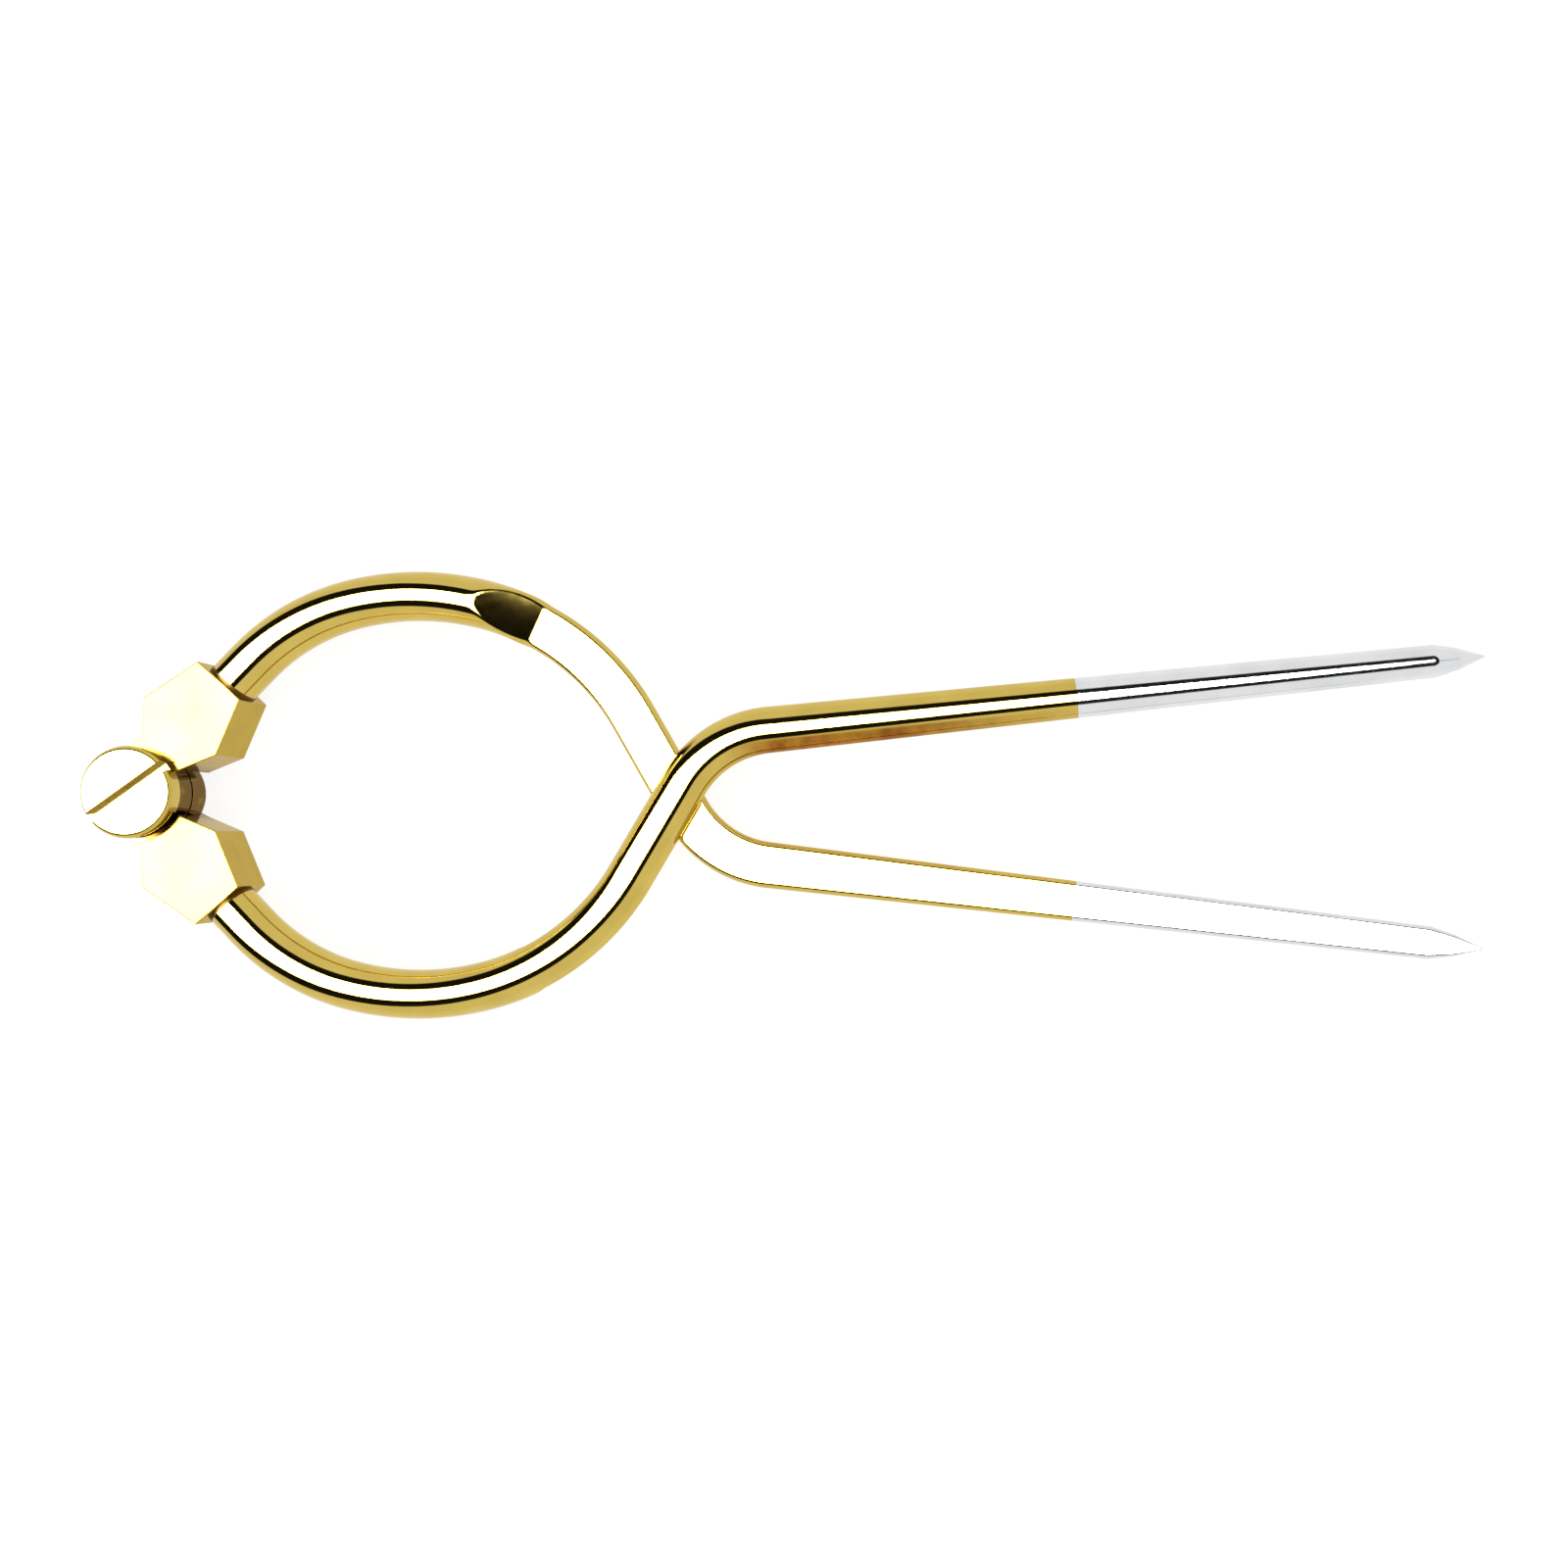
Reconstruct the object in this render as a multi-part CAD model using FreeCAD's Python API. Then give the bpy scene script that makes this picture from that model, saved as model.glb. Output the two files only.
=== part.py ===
import FreeCAD, Part
import math
import os

# Single-handed brass chart dividers with steel points.
# Units are millimetres. The pivot axis is the Z axis, the points lie towards +X,
# and Z = 0 is the underside of the hinge. The two arms are one shape: arm A is arm B
# turned half a turn about the long axis.

# Driving dimensions
hinge_thickness = 7.4
mid_height = hinge_thickness / 2
flat_gap = 0.10            # air between the two sliding flats
rod_radius = 3.175         # quarter-inch bar

# Centre line of arm B, from its hinge block to the start of its leg
bow_start = (10.55, 14.18)
bow_heading = 46.5         # degrees from +X
entry_run = 3.85
shoulder_radius = 27.0
shoulder_turn = -32.5
crown_radius = 34.5
crown_turn = -28.0
throat_radius = 30.5
throat_turn = -46.0
crossing_run = 13.86
leg_bend_radius = 14.0
leg_bend_turn = 53.7

# Leg and point
brass_leg_length = 39.8
taper_length = 86.0
taper_end_radius = 2.25
shoulder_length = 3.2      # first, blunter cone of the point's nose
shoulder_end_radius = 1.5
nose_length = 3.6
nose_radius = 0.10
tang_radius = 0.70
tang_length = 8.0
tang_depth = 1.15          # below the flat
fit = 0.01                 # radial air in a soldered or screwed fit
overlap = 1.0              # how far a tool or a joined solid runs past the face it meets

# Ramp from round bar to half-round bar
ramp_start = (41.7, 24.0)
ramp_heading = -19.6
ramp_length = 8.4

# Spigot that holds the bow in its block
spigot_radius = 2.25
spigot_length = 5.5

# Hinge
eye_radius = 5.4
eye_clearance = 0.9
washer_thickness = 0.5
eye_height = (hinge_thickness - washer_thickness) / 2
block_outline = [(-1.2, 5.26), (0.9, 7.5), (1.0, 12.0), (7.8, 16.6),
                 (13.2, 12.0), (10.2, 4.8), (5.9, 3.0), (0.0, 0.0)]
block_chamfer = 0.12
eye_chamfer = 0.4           # on the outer face's rim

# Pivot screw, washer and nut
head_radius = 5.8
head_height = 2.3
head_chamfer = 0.3
slot_width = 1.4
slot_depth = 1.2
slot_angle = 36.0
shank_radius = 2.0
shank_clearance = 0.05
washer_radius = 5.15
stack_air = 0.02           # between head, eyes and washer
nut_radius = 3.4
nut_height = 1.6
nut_slot_width = 1.0
nut_slot_depth = 0.6
nut_pocket_depth = 1.8
nut_pocket_radius = 3.6

UP = FreeCAD.Vector(0, 0, 1)


def vec(x, y, z=0.0):
    return FreeCAD.Vector(x, y, z)


def direction(heading):
    angle = math.radians(heading)
    return vec(math.cos(angle), math.sin(angle))


def disc(radius, centre, normal):
    circle = Part.makeCircle(radius, centre, normal)
    return Part.Face(Part.Wire([circle]))


def cylinder(radius, low, high, x=0.0, y=0.0):
    return Part.makeCylinder(radius, high - low, vec(x, y, low))


def joined(solids):
    whole = solids[0].multiFuse(solids[1:])
    return whole.removeSplitter()


def turned_over(shape):
    """The same piece, half a turn about the long axis at mid height."""
    copy = shape.copy()
    copy.rotate(vec(0, 0, mid_height), vec(1, 0, 0), 180)
    return copy


def straight_bar(point, heading, length):
    along = direction(heading)
    bar = disc(rod_radius, point, along).extrude(along * length)
    return bar, point + along * length


def bent_bar(point, heading, radius, turn):
    side = 1 if turn > 0 else -1
    centre = point + direction(heading + 90 * side) * radius
    section = disc(rod_radius, point, direction(heading))
    bar = section.revolve(centre, UP * side, abs(turn))
    end = centre + direction(heading + turn - 90 * side) * radius
    return bar, end


def bow_bars():
    """Round bar of the bow; returns the solids and the leg's start and heading."""
    point = vec(bow_start[0], bow_start[1], mid_height)
    heading = bow_heading
    bars = []
    bar, point = straight_bar(point, heading, entry_run)
    bars.append(bar)
    bends = [(shoulder_radius, shoulder_turn), (crown_radius, crown_turn),
             (throat_radius, throat_turn)]
    for radius, turn in bends:
        bar, point = bent_bar(point, heading, radius, turn)
        bars.append(bar)
        heading += turn
    bar, point = straight_bar(point, heading, crossing_run)
    bars.append(bar)
    bar, point = bent_bar(point, heading, leg_bend_radius, leg_bend_turn)
    bars.append(bar)
    heading += leg_bend_turn
    return bars, point, heading


def taper_radius(distance):
    return rod_radius + (taper_end_radius - rod_radius) * distance / taper_length


def flat_cutter():
    """Everything above the ramp and the flat of arm B."""
    rise = rod_radius + flat_gap / 2
    slope = rise / ramp_length
    reach = 2 * taper_length
    side = taper_length
    top = mid_height + 3 * rod_radius
    flat = mid_height - flat_gap / 2
    profile = [(-overlap, flat + rise + slope * overlap), (ramp_length, flat),
               (reach, flat), (reach, top), (-overlap, top)]
    along = direction(ramp_heading)
    across = direction(ramp_heading + 90)
    base = vec(ramp_start[0], ramp_start[1]) - across * side
    corners = [base + along * s + UP * z for s, z in profile]
    face = Part.Face(Part.makePolygon(corners + corners[:1]))
    return face.extrude(across * (2 * side))


def tang(start, heading, radius, length):
    along = direction(heading)
    centre = start - UP * (tang_depth + flat_gap / 2)
    return Part.makeCylinder(radius, length, centre, along)


def make_arm(bars, leg_start, leg_heading):
    along = direction(leg_heading)
    leg = Part.makeCone(rod_radius, taper_radius(brass_leg_length),
                        brass_leg_length, leg_start, along)
    arm = joined(bars + [leg]).cut(flat_cutter())
    root = vec(bow_start[0], bow_start[1], mid_height)
    spigot = Part.makeCylinder(spigot_radius, spigot_length, root,
                               direction(bow_heading) * -1)
    arm = joined([arm, spigot])
    joint = leg_start + along * brass_leg_length
    hole = tang(joint - along * (tang_length + fit), leg_heading,
                tang_radius + fit, tang_length + 2 * fit)
    return arm.cut(hole)


def make_point(leg_start, leg_heading):
    along = direction(leg_heading)
    joint = leg_start + along * brass_leg_length
    shank = Part.makeCone(taper_radius(brass_leg_length), taper_end_radius,
                          taper_length - brass_leg_length, joint, along)
    shoulder = Part.makeCone(taper_end_radius, shoulder_end_radius, shoulder_length,
                             leg_start + along * taper_length, along)
    nose = Part.makeCone(shoulder_end_radius, nose_radius, nose_length,
                         leg_start + along * (taper_length + shoulder_length), along)
    point = joined([shank, shoulder, nose]).cut(flat_cutter())
    root = tang(joint - along * tang_length, leg_heading, tang_radius, tang_length + overlap)
    return joined([point, root])


def chamfered_prism(outline, height, chamfer):
    corners = [vec(x, y) for x, y in outline]
    face = Part.Face(Part.makePolygon(corners + corners[:1]))
    prism = face.extrude(vec(0, 0, height))
    outside = []
    for edge in prism.Edges:
        box = edge.BoundBox
        level = box.ZLength < 1e-6
        near_pivot = box.XMin < 0.1 and box.YMin < eye_radius
        at_centre = abs(box.XMin) < 1e-6 and abs(box.YMin) < 1e-6
        if level and not near_pivot and not at_centre:
            outside.append(edge)
    return prism.makeChamfer(chamfer, outside)


def make_block():
    """Block B: full-thickness body with the upper eye; its bore is a running fit."""
    body = chamfered_prism(block_outline, hinge_thickness, block_chamfer)
    seat = eye_radius + eye_clearance
    upper_eye = cylinder(eye_radius, hinge_thickness - eye_height, hinge_thickness)
    rim = [edge for edge in upper_eye.Edges if edge.CenterOfMass.z > hinge_thickness - 0.01]
    upper_eye = upper_eye.makeChamfer(eye_chamfer, rim)
    body = body.cut(cylinder(seat, -overlap, hinge_thickness - eye_height))
    block = joined([body, upper_eye])
    root = vec(bow_start[0], bow_start[1], mid_height)
    socket = Part.makeCylinder(spigot_radius + fit, spigot_length + fit, root,
                               direction(bow_heading) * -1)
    size = 3 * hinge_thickness
    beyond = Part.makeBox(size, 2 * size, size, vec(0, -size, -size / 2))
    beyond.rotate(vec(0, 0, 0), UP, bow_heading)
    beyond.translate(root)
    block = block.cut(socket).cut(beyond)
    return block


def bored(block, radius):
    return block.cut(cylinder(radius, -overlap, hinge_thickness + overlap))


def make_screw():
    low = hinge_thickness + stack_air
    head = cylinder(head_radius, low, low + head_height)
    rim = [edge for edge in head.Edges if edge.CenterOfMass.z > low + head_height - 0.01]
    head = head.makeChamfer(head_chamfer, rim)
    slot = Part.makeBox(4 * head_radius, slot_width, head_height,
                        vec(-2 * head_radius, -slot_width / 2, low + head_height - slot_depth))
    slot.rotate(vec(0, 0, 0), UP, slot_angle)
    shank = cylinder(shank_radius, 0.0, low + overlap)
    return joined([head.cut(slot), shank])


def make_washer():
    low = eye_height + stack_air
    high = hinge_thickness - eye_height - stack_air
    ring = cylinder(washer_radius, low, high)
    return ring.cut(cylinder(shank_radius + shank_clearance, 0.0, hinge_thickness))


def make_nut():
    ring = cylinder(nut_radius, 0.0, nut_height)
    ring = ring.cut(cylinder(shank_radius + fit, -overlap, nut_height + overlap))
    notch = Part.makeBox(4 * nut_radius, nut_slot_width, nut_slot_depth,
                         vec(-2 * nut_radius, -nut_slot_width / 2, 0))
    return ring.cut(notch)


def save(name, shape):
    solids = shape.Solids
    if len(solids) != 1 or not shape.isValid():
        print("CHECK", name, "solids", len(solids), "valid", shape.isValid())
    solids[0].exportStep("parts/%s.step" % name)
    print(name, round(solids[0].Volume, 2), solids[0].BoundBox)


os.makedirs("parts", exist_ok=True)

bars, leg_start, leg_heading = bow_bars()
arm_b = make_arm(bars, leg_start, leg_heading)
point_b = make_point(leg_start, leg_heading)
plain_block = make_block()
block_b = bored(plain_block, shank_radius + shank_clearance)
block_a = bored(turned_over(plain_block), shank_radius + fit)
block_a = block_a.cut(cylinder(nut_pocket_radius, -overlap, nut_pocket_depth))

save("hinge_block_a", block_a)
save("hinge_block_b", block_b)
save("bow_arm_a", turned_over(arm_b))
save("bow_arm_b", arm_b)
save("steel_point_a", turned_over(point_b))
save("steel_point_b", point_b)
save("pivot_screw", make_screw())
save("friction_washer", make_washer())
save("lock_nut", make_nut())
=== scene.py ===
import math

import bmesh
import bpy
from mathutils import Matrix, Vector


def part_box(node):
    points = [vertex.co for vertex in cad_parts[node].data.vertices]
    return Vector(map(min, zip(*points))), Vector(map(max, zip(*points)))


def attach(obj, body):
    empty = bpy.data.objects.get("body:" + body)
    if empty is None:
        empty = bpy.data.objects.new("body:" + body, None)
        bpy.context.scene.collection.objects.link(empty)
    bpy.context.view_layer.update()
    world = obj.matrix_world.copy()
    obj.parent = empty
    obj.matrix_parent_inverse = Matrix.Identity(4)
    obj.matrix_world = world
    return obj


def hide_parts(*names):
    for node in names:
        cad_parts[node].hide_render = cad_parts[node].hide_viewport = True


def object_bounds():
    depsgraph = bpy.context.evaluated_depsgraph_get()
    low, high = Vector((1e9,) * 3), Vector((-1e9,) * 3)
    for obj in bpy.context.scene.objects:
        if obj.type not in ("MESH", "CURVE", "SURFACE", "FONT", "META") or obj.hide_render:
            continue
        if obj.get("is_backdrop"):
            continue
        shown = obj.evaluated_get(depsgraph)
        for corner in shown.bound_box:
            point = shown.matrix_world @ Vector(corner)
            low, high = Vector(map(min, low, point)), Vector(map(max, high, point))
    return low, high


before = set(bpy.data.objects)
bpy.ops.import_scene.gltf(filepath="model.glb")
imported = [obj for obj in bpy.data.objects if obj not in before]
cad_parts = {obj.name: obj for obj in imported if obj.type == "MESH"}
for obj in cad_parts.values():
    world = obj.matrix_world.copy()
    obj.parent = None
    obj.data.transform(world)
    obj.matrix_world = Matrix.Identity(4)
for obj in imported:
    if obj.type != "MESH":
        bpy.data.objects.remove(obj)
cad_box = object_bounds()

MM = 0.001
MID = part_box("hinge_block_a")[1].z / 2          # height of the sliding flats
ROD = 3.16 * MM
FLAT_GAP = 0.10 * MM

# Centre line of arm B: start, heading in degrees, then (length) or (radius, turn)
BOW_START = Vector((10.55, 14.18, 0)) * MM
BOW_HEADING = 46.5
ENTRY_RUN = 3.85 * MM
BENDS = [(27.0 * MM, -32.5), (34.5 * MM, -28.0), (30.5 * MM, -46.0)]
CROSSING_RUN = 13.86 * MM
LEG_BEND = (14.0 * MM, 53.7)

BRASS_LEG = 39.8 * MM
TAPER = 86.0 * MM
NOSE = 6.8 * MM
# Radius along the leg as (distance, radius); the last two are the nose of the point
LEG_RADII = [(0.0, ROD), (TAPER, 2.25 * MM), (TAPER + 3.2 * MM, 1.5 * MM),
             (TAPER + NOSE, 0.10 * MM)]

RAMP_START = Vector((41.7, 24.0, 0)) * MM
RAMP_HEADING = -19.6
RAMP_LENGTH = 8.4 * MM

AROUND = 96                  # points round a section
STATION = 0.4 * MM           # distance between sections
EDGE_ROUND = 0.26            # radius of the flat's edges, as a share of the bar's
CREASE = 0.04                # the same where the ramp starts
SHADOW_BAND = 0.45 * MM             # painted shadow band where the bar meets its block


def unit(heading):
    angle = math.radians(heading)
    return Vector((math.cos(angle), math.sin(angle), 0))


# ---------------------------------------------------------------- arm shape

def centre_line():
    """Stations of arm B as (point, heading, distance past the leg's start)."""
    runs = [("line", ENTRY_RUN, 0)]
    runs += [("bend", radius, turn) for radius, turn in BENDS]
    runs += [("line", CROSSING_RUN, 0), ("bend",) + LEG_BEND]
    point = BOW_START.copy()
    heading = BOW_HEADING
    stations = [(point.copy(), heading, -1.0)]
    for kind, size, turn in runs:
        length = size if kind == "line" else size * math.radians(abs(turn))
        count = max(2, round(length / STATION))
        if kind == "line":
            start = point.copy()
            for i in range(1, count + 1):
                stations.append((start + unit(heading) * length * i / count, heading, -1.0))
            point = start + unit(heading) * length
            continue
        side = 1 if turn > 0 else -1
        centre = point + unit(heading + 90 * side) * size
        for i in range(1, count + 1):
            now = heading + turn * i / count
            stations.append((centre + unit(now - 90 * side) * size, now, -1.0))
        heading += turn
        point = stations[-1][0].copy()
    return stations, point, heading


def bar_radius(distance):
    distance = max(distance, 0.0)
    for (low, first), (high, second) in zip(LEG_RADII, LEG_RADII[1:]):
        if distance <= high:
            return first + (second - first) * (distance - low) / (high - low)
    return LEG_RADII[-1][1]


def flat_height(point):
    """Height over mid height at which arm B is cut, along the ramp and the flat."""
    along = (point - RAMP_START).dot(unit(RAMP_HEADING))
    full = ROD + FLAT_GAP / 2
    return -FLAT_GAP / 2 + full * max(0.0, 1 - along / RAMP_LENGTH)


def outline(radius, top):
    """Closed outline of a bar cut off at height top, its two edges rounded.

    Lengths and points go round from the bottom; each stretch is (length, point at share).
    """
    depth = min(max(1 - top / radius, 0.0), 1.0)
    fillet = radius * (CREASE + (EDGE_ROUND - CREASE) * depth)
    inner = radius - fillet
    lift = min(top - fillet, inner)
    corner = math.asin(max(lift / inner, -1.0))
    reach = inner * math.cos(corner)

    def arc(centre, size, first, last):
        def at(share):
            angle = first + (last - first) * share
            return centre[0] + size * math.cos(angle), centre[1] + size * math.sin(angle)
        return size * abs(last - first), at

    def across(share):
        return reach * (1 - 2 * share), lift + fillet

    quarter = math.pi / 2
    return [arc((0, 0), radius, -quarter, corner),
            arc((reach, lift), fillet, corner, quarter),
            (2 * reach, across),
            arc((-reach, lift), fillet, quarter, math.pi - corner),
            arc((0, 0), radius, math.pi - corner, 3 * quarter)]


def section(point, heading, radius, turned):
    """One ring of points; turned gives the same ring on arm A."""
    across = unit(heading + 90)
    stretches = outline(radius, flat_height(point))
    whole = sum(length for length, at in stretches)
    ring = []
    for i in range(AROUND):
        travel = whole * i / AROUND
        for length, at in stretches:
            if travel <= length:
                break
            travel -= length
        side, rise = at(travel / length if length else 0.0)
        place = point + across * side + Vector((0, 0, rise))
        if turned:
            place = Vector((place.x, -place.y, -place.z))
        ring.append(place + Vector((0, 0, MID)))
    return ring


def skin(name, rings, body, material, shadow_paint=None, shadow_rings=0):
    mesh = bpy.data.meshes.new(name)
    build = bmesh.new()
    grid = [[build.verts.new(place) for place in ring] for ring in rings]
    for one, two in zip(grid, grid[1:]):
        for i in range(AROUND):
            j = (i + 1) % AROUND
            build.faces.new((one[i], one[j], two[j], two[i]))
    for ring in (grid[0], grid[-1]):
        for edge in build.faces.new(ring).edges:
            edge.smooth = False
    bmesh.ops.recalc_face_normals(build, faces=build.faces)
    build.to_mesh(mesh)
    build.free()
    piece = bpy.data.objects.new(name, mesh)
    bpy.context.scene.collection.objects.link(piece)
    mesh.materials.append(material)
    if shadow_paint:
        mesh.materials.append(shadow_paint)
    for face in mesh.polygons:
        face.use_smooth = len(face.vertices) == 4
        # The first rings by the block get the painted shadow band
        if face.index < shadow_rings * AROUND:
            face.material_index = 1
    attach(piece, body)
    return piece


def leg_stations(start, heading, low, high, step):
    count = max(2, round((high - low) / step))
    for i in range(count + 1):
        distance = low + (high - low) * i / count
        yield start + unit(heading) * distance, heading, distance


def make_arms(brasses, shadow_paint, steel):
    bow, leg_start, leg_heading = centre_line()
    # The second section stands where the painted shadow band at the block ends
    bow[1] = (BOW_START + unit(BOW_HEADING) * SHADOW_BAND, BOW_HEADING, -1.0)
    leg = list(leg_stations(leg_start, leg_heading, 0, BRASS_LEG, STATION))[1:]
    shank = list(leg_stations(leg_start, leg_heading, BRASS_LEG, TAPER, STATION))
    nose = list(leg_stations(leg_start, leg_heading, TAPER, TAPER + NOSE, STATION / 2))[1:]
    for letter, turned in (("a", True), ("b", False)):
        body = "arm_" + letter
        rings = [section(p, h, bar_radius(d), turned) for p, h, d in bow + leg]
        arm = skin("bow_and_leg_" + letter, rings, body, brasses[letter], shadow_paint, 1)
        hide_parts("bow_arm_" + letter)
        rings = [section(p, h, bar_radius(d), turned) for p, h, d in shank + nose]
        point = skin("needle_" + letter, rings, body, steel)
        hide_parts("steel_point_" + letter)


# ---------------------------------------------------------------- pivot screw

SHANK = 2.0 * MM
SLOT_WIDTH = 1.4 * MM
SLOT_DEPTH = 1.2 * MM
SLOT_ANGLE = 36.0
SLOT_LENGTH = 30.0 * MM      # of the tool that cuts it, longer than the head is wide
HEAD_ROUND = 0.7 * MM
HEAD_ROUND_STEPS = 8
HEAD_CHAMFER = 0.1 * MM
SHANK_CHAMFER = 0.2 * MM
STACK_AIR = 0.02 * MM
SHARP_ANGLE = 30.0
LATHE_STEPS = 128


def lathe(name, profile):
    """A solid turned from (radius, height) points, the first and last on the axis."""
    build = bmesh.new()
    rows = []
    for radius, height in profile:
        if radius == 0:
            rows.append([build.verts.new((0, 0, height))])
            continue
        row = []
        for i in range(LATHE_STEPS):
            angle = 2 * math.pi * i / LATHE_STEPS
            row.append(build.verts.new((radius * math.cos(angle),
                                        radius * math.sin(angle), height)))
        rows.append(row)
    for one, two in zip(rows, rows[1:]):
        for i in range(LATHE_STEPS):
            j = (i + 1) % LATHE_STEPS
            ring = [one[i % len(one)], one[j % len(one)], two[j % len(two)], two[i % len(two)]]
            build.faces.new(list(dict.fromkeys(ring)))
    bmesh.ops.recalc_face_normals(build, faces=build.faces)
    mesh = bpy.data.meshes.new(name)
    build.to_mesh(mesh)
    build.free()
    thing = bpy.data.objects.new(name, mesh)
    bpy.context.scene.collection.objects.link(thing)
    return thing


def slot_tool(top):
    build = bmesh.new()
    bmesh.ops.create_cube(build, size=1.0)
    mesh = bpy.data.meshes.new("slot_tool")
    build.to_mesh(mesh)
    build.free()
    mesh.transform(Matrix.Diagonal((SLOT_LENGTH, SLOT_WIDTH, 2 * SLOT_DEPTH, 1)))
    mesh.transform(Matrix.Rotation(math.radians(SLOT_ANGLE), 4, "Z"))
    mesh.transform(Matrix.Translation((0, 0, top)))
    thing = bpy.data.objects.new("slot_tool", mesh)
    bpy.context.scene.collection.objects.link(thing)
    return thing


def make_screw(polished, slot_shade):
    low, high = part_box("pivot_screw")
    radius = high.x
    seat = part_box("hinge_block_b")[1].z + STACK_AIR
    profile = [(0, low.z), (SHANK - SHANK_CHAMFER, low.z), (SHANK, low.z + SHANK_CHAMFER),
               (SHANK, seat), (radius - HEAD_CHAMFER, seat), (radius, seat + HEAD_CHAMFER)]
    for i in range(HEAD_ROUND_STEPS + 1):
        angle = math.pi / 2 * i / HEAD_ROUND_STEPS
        profile.append((radius - HEAD_ROUND * (1 - math.cos(angle)),
                        high.z - HEAD_ROUND * (1 - math.sin(angle))))
    profile.append((0, high.z))
    blank = lathe("turned_screw", profile)
    tool = slot_tool(high.z)
    cut = blank.modifiers.new("slot", "BOOLEAN")
    cut.object = tool
    cut.operation = "DIFFERENCE"
    cut.solver = "EXACT"
    graph = bpy.context.evaluated_depsgraph_get()
    mesh = bpy.data.meshes.new_from_object(blank.evaluated_get(graph))
    blank.modifiers.clear()
    blank.data = mesh
    bpy.data.objects.remove(tool)
    mesh.materials.clear()
    mesh.materials.append(polished)
    mesh.materials.append(slot_shade)
    mesh.polygons.foreach_set("use_smooth", [True] * len(mesh.polygons))
    mesh.set_sharp_from_angle(angle=math.radians(SHARP_ANGLE))
    # Only the walls of the slot are upright, inside the rim and above the seat; they get the
    # painted shade of the slot
    for face in mesh.polygons:
        inside = face.center.to_2d().length < radius * 0.97
        if inside and abs(face.normal.z) < 0.3 and face.center.z > seat:
            face.material_index = 1
    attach(blank, "arm_a")
    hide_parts("pivot_screw")


# ---------------------------------------------------------------- materials

WHITE = (1.0, 1.0, 1.0)
BRASS = (0.62, 0.46, 0.105)
BRASS_DARK = (0.55, 0.40, 0.085)
BLOCK_BRASS = (0.52, 0.37, 0.065)
BLOCK_DARK = (0.44, 0.31, 0.05)
# Dark colour of the painted shade round the pivot and of the painted shadow band at each bar's
# block
PAINTED_SHADE = (0.14, 0.08, 0.018)
SHADE_REACH = 7.4 * MM
# Colours of the painted warm reflection on the inside of the legs
REFLECTED_WARM = (0.42, 0.20, 0.025)
REFLECTED_WARM_DARK = (0.20, 0.06, 0.008)
STEEL = (0.74, 0.745, 0.75)
STEEL_DARK = (0.66, 0.665, 0.68)
# Painted shade on the walls of the screw's slot
SLOT_SHADE = (0.20, 0.12, 0.04)
SLOT_SHADE_DARK = (0.10, 0.06, 0.02)
# Washer darkened as painted shade between the two blocks
WASHER_SHADE = (0.30, 0.22, 0.08)
WASHER_SHADE_DARK = (0.16, 0.11, 0.03)
# Painted shadow band where each bar meets its block
SHADOW_BAND_DARK = (0.08, 0.04, 0.01)
CLOUD_SCALE = 180.0          # tarnish clouds, patches per metre
POLISH_SCALE = 900.0         # uneven polish
SHADE_PATCH_SCALE = 700.0
REFLECTION_STREAK_SCALE = 260.0
MARK_DEPTH = 0.02 * MM       # height of the buffing marks


class Wires:
    """Short ways to add and join shader nodes in one tree."""

    def __init__(self, tree):
        self.nodes = tree.nodes
        self.links = tree.links

    def feed(self, socket, value):
        if isinstance(value, (int, float, tuple)):
            socket.default_value = value
        else:
            self.links.new(value, socket)

    def maths(self, operation, *values):
        node = self.nodes.new("ShaderNodeMath")
        node.operation = operation
        for socket, value in zip(node.inputs, values):
            self.feed(socket, value)
        return node.outputs[0]

    def along(self, place, vector):
        node = self.nodes.new("ShaderNodeVectorMath")
        node.operation = "DOT_PRODUCT"
        self.feed(node.inputs[0], place)
        node.inputs[1].default_value = vector
        return node.outputs["Value"]

    def step(self, value, low, high):
        """Rises smoothly from 0 at low to 1 at high, or falls when high is under low."""
        if high < low:
            return self.maths("SUBTRACT", 1.0, self.step(value, high, low))
        node = self.nodes.new("ShaderNodeMapRange")
        node.interpolation_type = "SMOOTHSTEP"
        node.inputs["From Min"].default_value = low
        node.inputs["From Max"].default_value = high
        self.links.new(value, node.inputs["Value"])
        return node.outputs["Result"]

    def spread(self, value, low, high, first=0.0, last=1.0):
        """Goes in a straight line from first at low to last at high."""
        node = self.nodes.new("ShaderNodeMapRange")
        node.inputs["From Min"].default_value = low
        node.inputs["From Max"].default_value = high
        node.inputs["To Min"].default_value = first
        node.inputs["To Max"].default_value = last
        self.links.new(value, node.inputs["Value"])
        return node.outputs["Result"]

    def noise(self, place, scale, detail=2.0):
        node = self.nodes.new("ShaderNodeTexNoise")
        node.inputs["Scale"].default_value = scale
        node.inputs["Detail"].default_value = detail
        self.links.new(place, node.inputs["Vector"])
        return node.outputs["Fac"]

    def blend(self, share, under, over):
        node = self.nodes.new("ShaderNodeMix")
        node.data_type = "RGBA"
        self.feed(node.inputs[0], share)
        self.feed(node.inputs[6], under)
        self.feed(node.inputs[7], over)
        return node.outputs[2]


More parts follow.
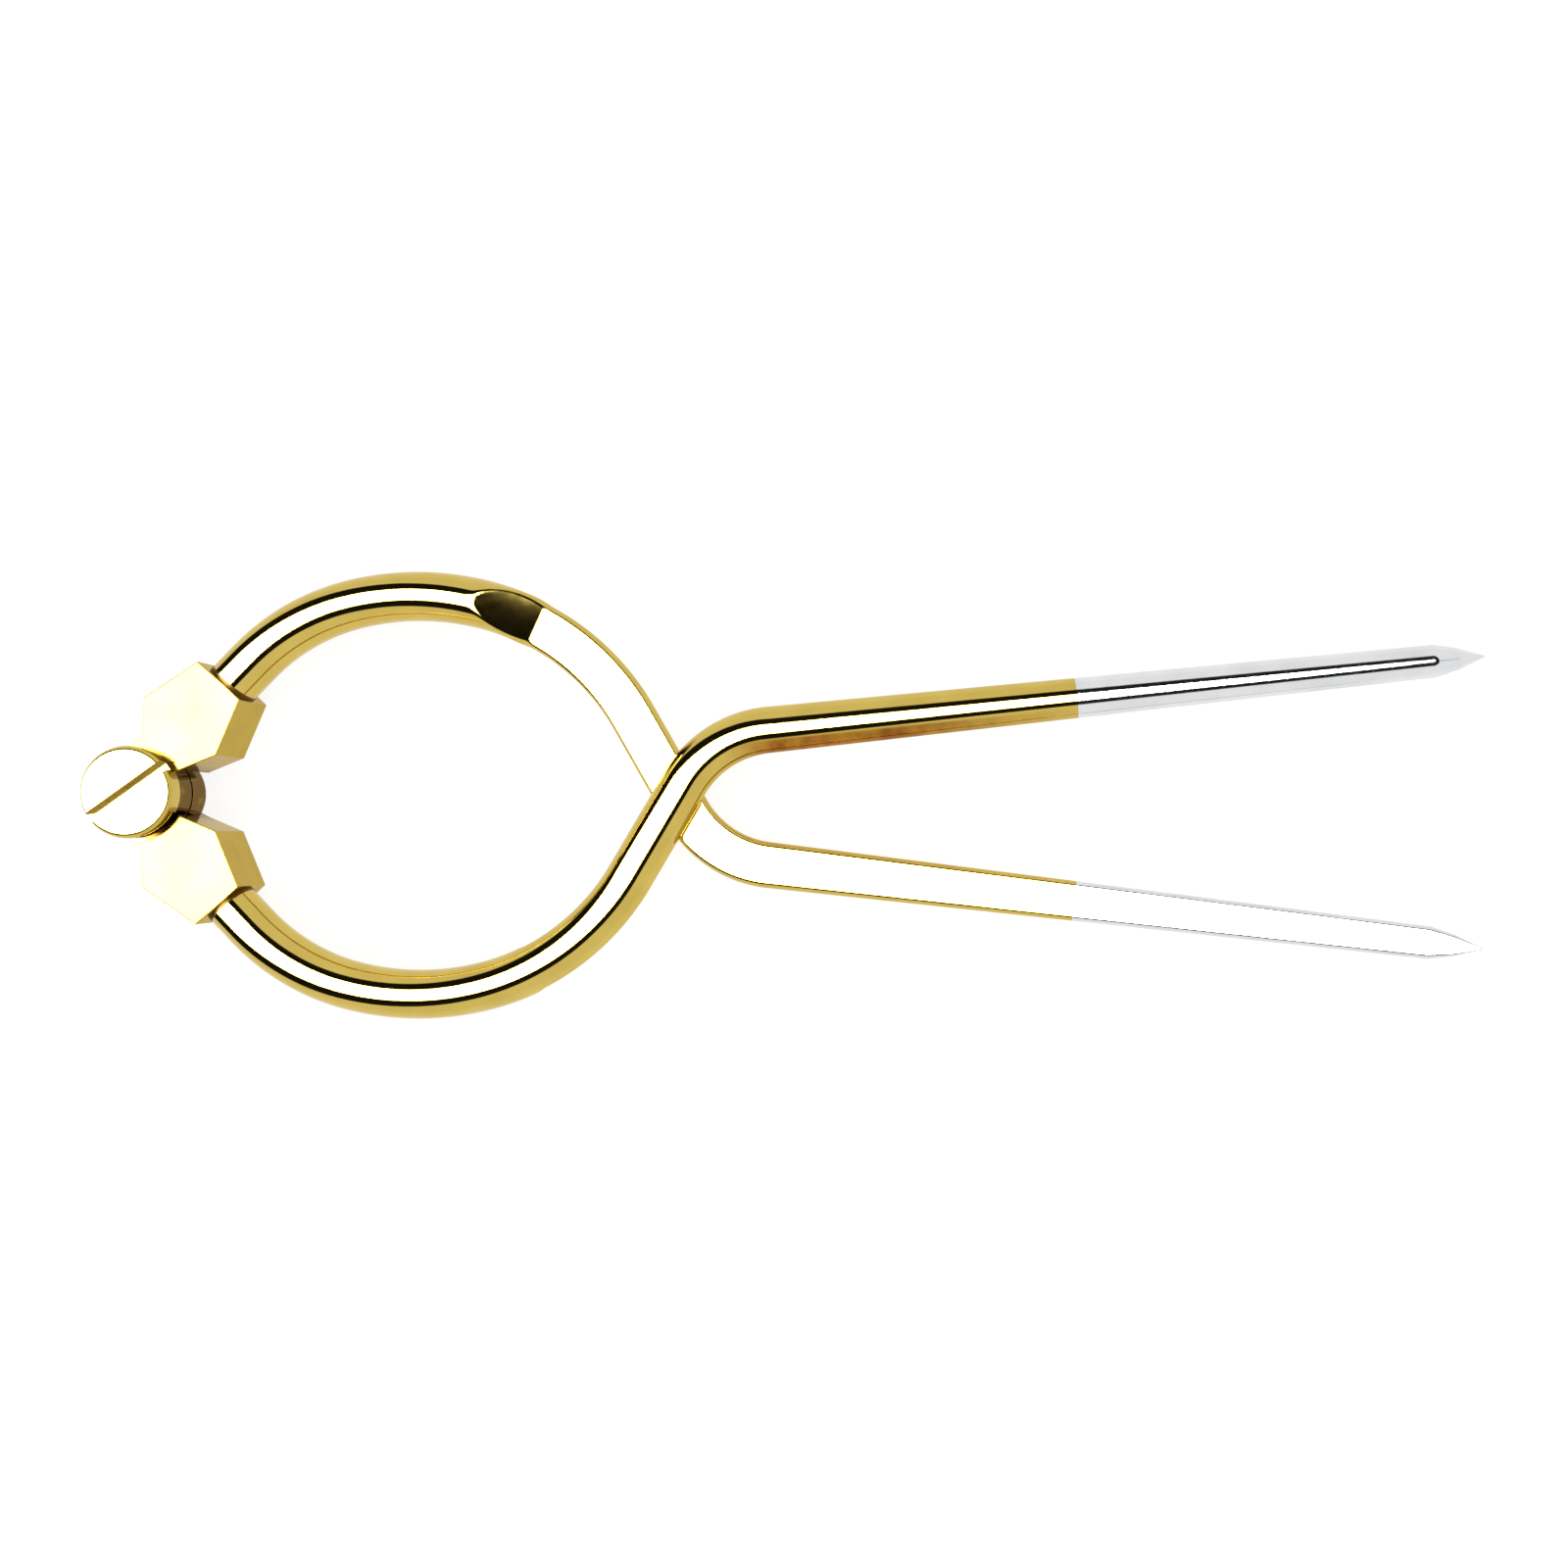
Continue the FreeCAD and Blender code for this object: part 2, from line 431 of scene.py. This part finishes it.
def shade_near_pivot(wires, place, colour):
    """Darkens the metal round the pivot, below the top face: painted shade between the blocks,
    patchy.
    """
    x = wires.along(place, (1, 0, 0))
    y = wires.along(place, (0, 1, 0))
    z = wires.along(place, (0, 0, 1))
    radius = wires.maths("SQRT", wires.maths("ADD", wires.maths("MULTIPLY", x, x),
                                             wires.maths("MULTIPLY", y, y)))
    near = wires.step(radius, SHADE_REACH * 1.2, SHADE_REACH * 0.7)
    below = wires.step(z, 2 * MID, 2 * MID - 0.4 * MM)
    patchy = wires.step(wires.noise(place, SHADE_PATCH_SCALE), 0.2, 0.5)
    share = wires.maths("MULTIPLY", wires.maths("MULTIPLY", near, below),
                        wires.maths("MULTIPLY_ADD", patchy, 0.3, 0.7))
    return wires.blend(share, colour, PAINTED_SHADE + (1,))


def warm_reflection_painter(side, reflection_strength):
    """Painted warm reflection on the inside of an arm's leg, fading towards the point."""
    leg_start, leg_heading = centre_line()[1:]
    inward = unit(leg_heading + 90)
    outward = unit(leg_heading)

    def flipped(vector):
        return (vector.x, vector.y * side, vector.z)

    def paint_reflection(wires, place, colour):
        inside = wires.maths("SUBTRACT", wires.along(place, flipped(inward)),
                             leg_start.dot(inward))
        travel = wires.maths("SUBTRACT", wires.along(place, flipped(outward)),
                             leg_start.dot(outward))
        share = wires.maths("MULTIPLY", wires.step(inside, 0.38 * ROD, 0.52 * ROD),
                            wires.step(travel, -7 * MM, 1 * MM))
        share = wires.maths("MULTIPLY", share, wires.step(travel, 46 * MM, 14 * MM))
        share = wires.maths("MULTIPLY", share, reflection_strength)
        streaks = wires.step(wires.noise(place, REFLECTION_STREAK_SCALE, 4.0), 0.25, 0.62)
        reflected_tint = wires.blend(streaks, REFLECTED_WARM_DARK + (1,), REFLECTED_WARM + (1,))
        return wires.blend(share, colour, reflected_tint)

    return paint_reflection


def metal(name, colour, dark, rough, rough_spread, grain, scratch, edge=0.0, painted_light=None,
          rim=WHITE):
    """Polished metal: slight tarnish clouds, uneven polish and fine buffing marks; the optional
    hook paints shade or a reflection into the colour.
    """
    material = bpy.data.materials.new(name)
    material.use_nodes = True
    wires = Wires(material.node_tree)
    shader = wires.nodes["Principled BSDF"]
    shader.inputs["Metallic"].default_value = 1.0
    shader.inputs["Specular Tint"].default_value = rim + (1,)
    place = wires.nodes.new("ShaderNodeTexCoord").outputs["Object"]

    clouds = wires.spread(wires.noise(place, CLOUD_SCALE, 4.0), 0.25, 0.62)
    tint = wires.blend(clouds, dark + (1,), colour + (1,))
    # Paints shade or a reflection into the base colour
    if painted_light:
        tint = painted_light(wires, place, tint)
    wires.feed(shader.inputs["Base Color"], tint)

    polish = wires.noise(place, POLISH_SCALE, 6.0)
    roughness = wires.spread(polish, 0.0, 1.0, rough, rough + rough_spread)
    wires.feed(shader.inputs["Roughness"], roughness)

    stretch = wires.nodes.new("ShaderNodeMapping")
    stretch.inputs["Scale"].default_value = (0.25, 1.0, 1.0)
    wires.feed(stretch.inputs["Vector"], place)
    bump = wires.nodes.new("ShaderNodeBump")
    bump.inputs["Strength"].default_value = scratch
    bump.inputs["Distance"].default_value = MARK_DEPTH
    wires.feed(bump.inputs["Height"], wires.noise(stretch.outputs["Vector"], grain, 8.0))
    if edge:
        worn = wires.nodes.new("ShaderNodeBevel")
        worn.samples = 6
        worn.inputs["Radius"].default_value = edge
        wires.feed(bump.inputs["Normal"], worn.outputs["Normal"])
    wires.feed(shader.inputs["Normal"], bump.outputs["Normal"])
    return material


def finish_node(node, material):
    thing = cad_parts[node]
    thing.data.materials.clear()
    thing.data.materials.append(material)


# ---------------------------------------------------------------- studio

FLOOR_HALF = 1.5
FLOOR_HEIGHT = -0.1 * MM
FLOOR_GREY = (0.22, 0.22, 0.22)
FLOOR_GLOW = 0.86


def floor():
    mesh = bpy.data.meshes.new("floor")
    signs = [(-1, -1), (1, -1), (1, 1), (-1, 1)]
    corners = [(x * FLOOR_HALF, y * FLOOR_HALF, FLOOR_HEIGHT) for x, y in signs]
    mesh.from_pydata(corners, [], [(0, 1, 2, 3)])
    thing = bpy.data.objects.new("floor", mesh)
    bpy.context.scene.collection.objects.link(thing)
    material = bpy.data.materials.new("pale_floor")
    material.use_nodes = True
    shader = material.node_tree.nodes["Principled BSDF"]
    shader.inputs["Base Color"].default_value = FLOOR_GREY + (1,)
    shader.inputs["Roughness"].default_value = 0.9
    shader.inputs["Specular IOR Level"].default_value = 0.0
    shader.inputs["Emission Color"].default_value = WHITE + (1,)
    shader.inputs["Emission Strength"].default_value = FLOOR_GLOW
    mesh.materials.append(material)
    thing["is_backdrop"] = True


BOX_TILT = -32.0             # degrees from straight up, towards -X
BOX_SIZE = (50.5, 24.0)      # half length and half width, degrees
DARK_SIZE = (76.0, 50.0)     # outside of the dark surround
BOX_STRENGTH = 15.0
WALL_STRENGTH = 1.0
ROOM_STRENGTH = 0.95
SURROUND_STRENGTH = 0.01


def studio_light():
    """An overhead softbox with a dark surround inside a white room."""
    world = bpy.data.worlds.new("studio")
    bpy.context.scene.world = world
    world.use_nodes = True
    wires = Wires(world.node_tree)
    maths = wires.maths
    place = wires.nodes.new("ShaderNodeTexCoord").outputs["Generated"]
    tilt = math.radians(BOX_TILT)
    up = wires.along(place, (math.sin(tilt), 0, math.cos(tilt)))
    length = wires.along(place, (math.cos(tilt), 0, -math.sin(tilt)))
    width = wires.along(place, (0, 1, 0))
    length_angle = maths("ABSOLUTE", maths("ARCTAN2", length, up))
    width_angle = maths("ABSOLUTE", maths("ARCTAN2", width, up))

    def reach(size):
        parts = []
        for angle, half in zip((length_angle, width_angle), size):
            share = maths("DIVIDE", angle, math.radians(half))
            parts.append(maths("POWER", share, 4))
        return maths("POWER", maths("ADD", parts[0], parts[1]), 0.25)

    outside = wires.step(reach(BOX_SIZE), 0.97, 1.03)
    box = maths("MULTIPLY", maths("SUBTRACT", 1.0, outside), BOX_STRENGTH)
    wall = maths("MULTIPLY", wires.step(reach(DARK_SIZE), 0.96, 1.04), WALL_STRENGTH)
    seen = maths("ADD", maths("ADD", box, wall), SURROUND_STRENGTH)
    glossy = wires.nodes.new("ShaderNodeLightPath").outputs["Is Glossy Ray"]
    room = maths("MULTIPLY", maths("SUBTRACT", 1.0, glossy), ROOM_STRENGTH)
    total = maths("ADD", maths("MULTIPLY", seen, glossy), room)
    wires.links.new(total, wires.nodes["Background"].inputs["Strength"])
    wires.nodes["Background"].inputs["Color"].default_value = WHITE + (1,)


CAMERA_PLACE = Vector((105.0, -5.4, 193.7)) * MM
VIEW_WIDTH = 202.0 * MM
VIEW_CENTRE = Vector((81.6, 1.95)) * MM
CAMERA_ROLL = 0.40
SENSOR_WIDTH = 36.0


def camera():
    data = bpy.data.cameras.new("camera")
    thing = bpy.data.objects.new("camera", data)
    bpy.context.scene.collection.objects.link(thing)
    data.sensor_width = SENSOR_WIDTH
    data.lens = SENSOR_WIDTH * (CAMERA_PLACE.z - MID) / VIEW_WIDTH
    data.shift_x = (VIEW_CENTRE.x - CAMERA_PLACE.x) / VIEW_WIDTH
    data.shift_y = (VIEW_CENTRE.y - CAMERA_PLACE.y) / VIEW_WIDTH
    data.clip_start = 0.005
    data.clip_end = 10.0
    thing.location = CAMERA_PLACE
    thing.rotation_euler = (0, 0, math.radians(CAMERA_ROLL))
    bpy.context.scene.camera = thing


# ---------------------------------------------------------------- the tool

bar_brass = {}
# Arm A gets the full painted warm reflection, arm B a quarter of it
for letter, side, reflection_strength in (("a", -1, 1.0), ("b", 1, 0.25)):
    bar_brass[letter] = metal("bar_brass_" + letter, BRASS, BRASS_DARK, 0.035, 0.05, 2500.0, 0.08,
                              painted_light=warm_reflection_painter(side, reflection_strength))
# The blocks get painted shade round the pivot
block_brass = metal("block_brass", BLOCK_BRASS, BLOCK_DARK, 0.10, 0.14, 3500.0, 0.25,
                    edge=0.15 * MM, painted_light=shade_near_pivot, rim=(0.85, 0.78, 0.68))
screw_brass = metal("screw_brass", BRASS, BRASS_DARK, 0.06, 0.08, 3000.0, 0.15)
slot_shade_brass = metal("slot_shade_brass", SLOT_SHADE, SLOT_SHADE_DARK, 0.3, 0.2, 3000.0, 0.3)
# Dark washer: painted shade between the blocks
washer_brass = metal("washer_brass", WASHER_SHADE, WASHER_SHADE_DARK, 0.2, 0.15, 3000.0, 0.3)
shadow_band_brass = metal("shadow_band_brass", PAINTED_SHADE, SHADOW_BAND_DARK, 0.25, 0.2, 3000.0, 0.3)
needle_steel = metal("needle_steel", STEEL, STEEL_DARK, 0.05, 0.07, 3000.0, 0.12)

make_arms(bar_brass, shadow_band_brass, needle_steel)
finish_node("hinge_block_a", block_brass)
finish_node("hinge_block_b", block_brass)
make_screw(screw_brass, slot_shade_brass)
finish_node("lock_nut", screw_brass)
finish_node("friction_washer", washer_brass)

floor()
studio_light()
camera()
bpy.context.scene.view_settings.view_transform = "Standard"

boxes = {"cad": cad_box, "visual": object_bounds()}
{name: [list(corner) for corner in box] for name, box in boxes.items()}
